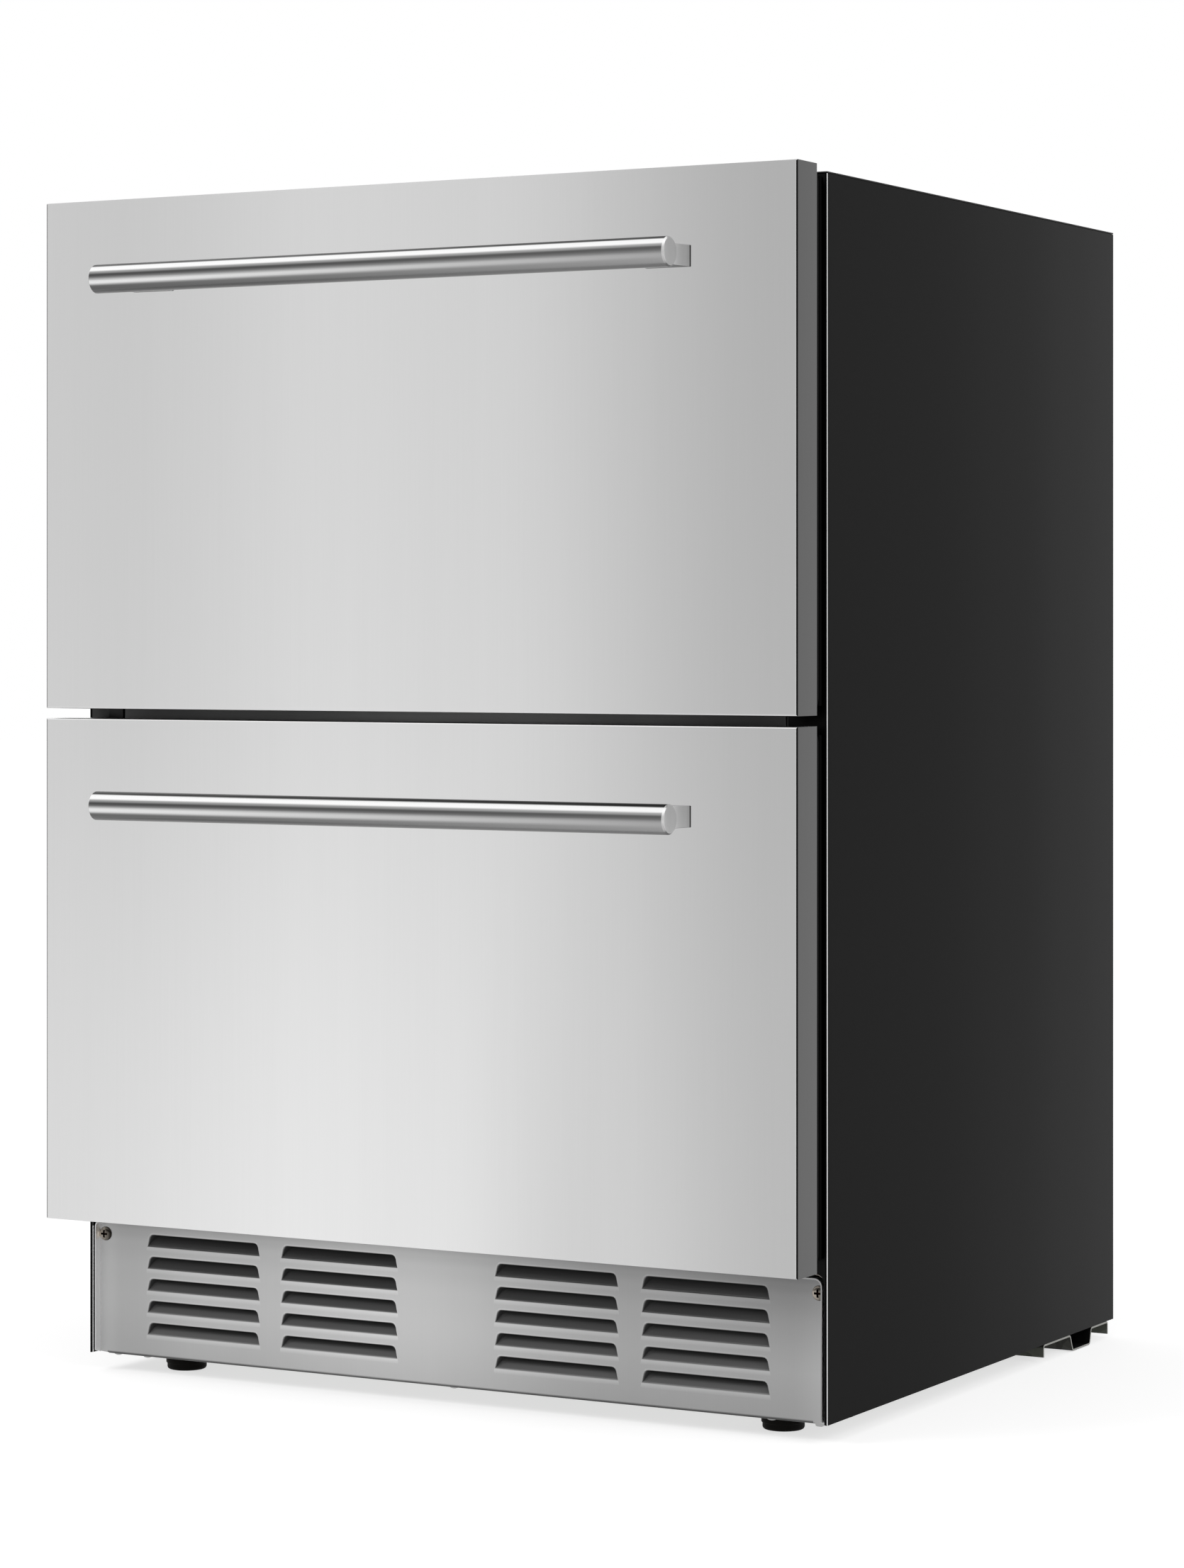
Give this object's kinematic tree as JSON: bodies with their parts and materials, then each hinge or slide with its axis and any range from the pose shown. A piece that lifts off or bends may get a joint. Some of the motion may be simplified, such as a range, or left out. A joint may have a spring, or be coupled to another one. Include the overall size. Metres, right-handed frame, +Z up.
{
  "type": "undercounter drawer refrigerator",
  "caption": "Built-in refrigerator with stacked steel-fronted drawers on telescopic rails, bar handles, a louvred kick grille and levelling feet.",
  "frame": {"origin": "middle of the footprint, at floor level under the feet", "axes": "+Z up, -Y out of the drawer fronts, +X to the right of a viewer who faces the drawers"},
  "size_m": [0.595, 0.5964, 0.838],
  "materials": {
    "brushed_steel": "vertical brushed grain",
    "polished_steel": "fine polished",
    "galvanised_steel": "galvanised, dull",
    "rail_steel": "zinc plated",
    "painted_steel": "satin black paint",
    "black_plastic": "moulded, fine matt",
    "black_rubber": "soft, matt",
    "liner_plastic": "vacuum-formed, soft sheen",
    "bin_plastic": "moulded, smooth",
    "foam": "rigid foam, cut surface",
    "compressor_paint": "black enamel",
    "fin_aluminium": "plain mill finish",
    "lamp_lens": "frosted diffuser"
  },
  "bodies": {
    "cabinet": {"side_panel_right": "painted_steel", "side_panel_left": "painted_steel", "edge_trim_right": "polished_steel", "edge_trim_left": "polished_steel", "top_panel": "painted_steel", "rear_panel": "galvanised_steel", "rear_cover": "galvanised_steel", "cable_gland": "black_rubber", "face_frame": "black_plastic", "mullion_bar": "black_plastic", "food_liner": "liner_plastic", "insulation_foam": "foam", "bay_ceiling": "galvanised_steel", "control_panel": "black_plastic", "lamp_cover": "lamp_lens", "kick_grille": "brushed_steel", "grille_screw_right": "polished_steel", "grille_screw_left": "polished_steel", "base_pan": "galvanised_steel", "rear_channel": "galvanised_steel", "compressor": "compressor_paint", "condenser": "fin_aluminium", "fan_shroud": "galvanised_steel", "drip_tray": "black_plastic", "electric_box": "black_plastic", "duct_cover": "liner_plastic", "evaporator": "fin_aluminium", "cold_fan_motor": "black_plastic", "upper_cabinet_rail_right": "rail_steel", "upper_cabinet_rail_left": "rail_steel", "lower_cabinet_rail_right": "rail_steel", "lower_cabinet_rail_left": "rail_steel"},
    "upper_drawer": {"upper_front_skin": "brushed_steel", "upper_inner_panel": "black_plastic", "upper_gasket": "black_rubber", "upper_bin": "bin_plastic", "upper_handle_bar": "polished_steel", "upper_handle_post_right": "polished_steel", "upper_handle_post_left": "polished_steel", "upper_drawer_rail_right": "rail_steel", "upper_drawer_rail_left": "rail_steel"},
    "lower_drawer": {"lower_front_skin": "brushed_steel", "lower_inner_panel": "black_plastic", "lower_gasket": "black_rubber", "lower_bin": "bin_plastic", "lower_handle_bar": "polished_steel", "lower_handle_post_right": "polished_steel", "lower_handle_post_left": "polished_steel", "lower_drawer_rail_right": "rail_steel", "lower_drawer_rail_left": "rail_steel"},
    "upper_middle_rails": {"upper_middle_rail_right": "rail_steel", "upper_middle_rail_left": "rail_steel"},
    "lower_middle_rails": {"lower_middle_rail_right": "rail_steel", "lower_middle_rail_left": "rail_steel"},
    "front_foot_right": {"front_foot_right": "black_plastic"},
    "front_foot_left": {"front_foot_left": "black_plastic"},
    "rear_foot_right": {"rear_foot_right": "black_plastic"},
    "rear_foot_left": {"rear_foot_left": "black_plastic"},
    "condenser_fan": {"condenser_fan": "black_plastic"},
    "cold_fan": {"cold_fan": "black_plastic"}
  },
  "joints": [
    {"name": "upper_drawer_slide", "type": "slide", "parent": "cabinet", "child": "upper_drawer", "axis": [0, -1, 0], "range_m": [0, 0.38]},
    {"name": "upper_middle_rail_slide", "type": "slide", "parent": "cabinet", "child": "upper_middle_rails", "axis": [0, -1, 0], "range_m": [0, 0.19]},
    {"name": "lower_drawer_slide", "type": "slide", "parent": "cabinet", "child": "lower_drawer", "axis": [0, -1, 0], "range_m": [0, 0.38]},
    {"name": "lower_middle_rail_slide", "type": "slide", "parent": "cabinet", "child": "lower_middle_rails", "axis": [0, -1, 0], "range_m": [0, 0.19]},
    {"name": "front_foot_right_level", "type": "slide", "parent": "cabinet", "child": "front_foot_right", "axis": [0, 0, -1], "range_m": [0, 0.012]},
    {"name": "front_foot_left_level", "type": "slide", "parent": "cabinet", "child": "front_foot_left", "axis": [0, 0, -1], "range_m": [0, 0.012]},
    {"name": "rear_foot_right_level", "type": "slide", "parent": "cabinet", "child": "rear_foot_right", "axis": [0, 0, -1], "range_m": [0, 0.012]},
    {"name": "rear_foot_left_level", "type": "slide", "parent": "cabinet", "child": "rear_foot_left", "axis": [0, 0, -1], "range_m": [0, 0.012]},
    {"name": "condenser_fan_spin", "type": "hinge", "parent": "cabinet", "child": "condenser_fan", "pos_m": [-0.136, -0.08225, 0.06355], "axis": [0, 1, 0], "continuous": true},
    {"name": "cold_fan_spin", "type": "hinge", "parent": "cabinet", "child": "cold_fan", "pos_m": [0, 0.22375, 0.655], "axis": [0, 1, 0], "continuous": true}
  ],
  "couplings": [
    {"joint": "upper_middle_rail_slide", "follows": "upper_drawer_slide", "ratio": 0.5},
    {"joint": "lower_middle_rail_slide", "follows": "lower_drawer_slide", "ratio": 0.5}
  ]
}
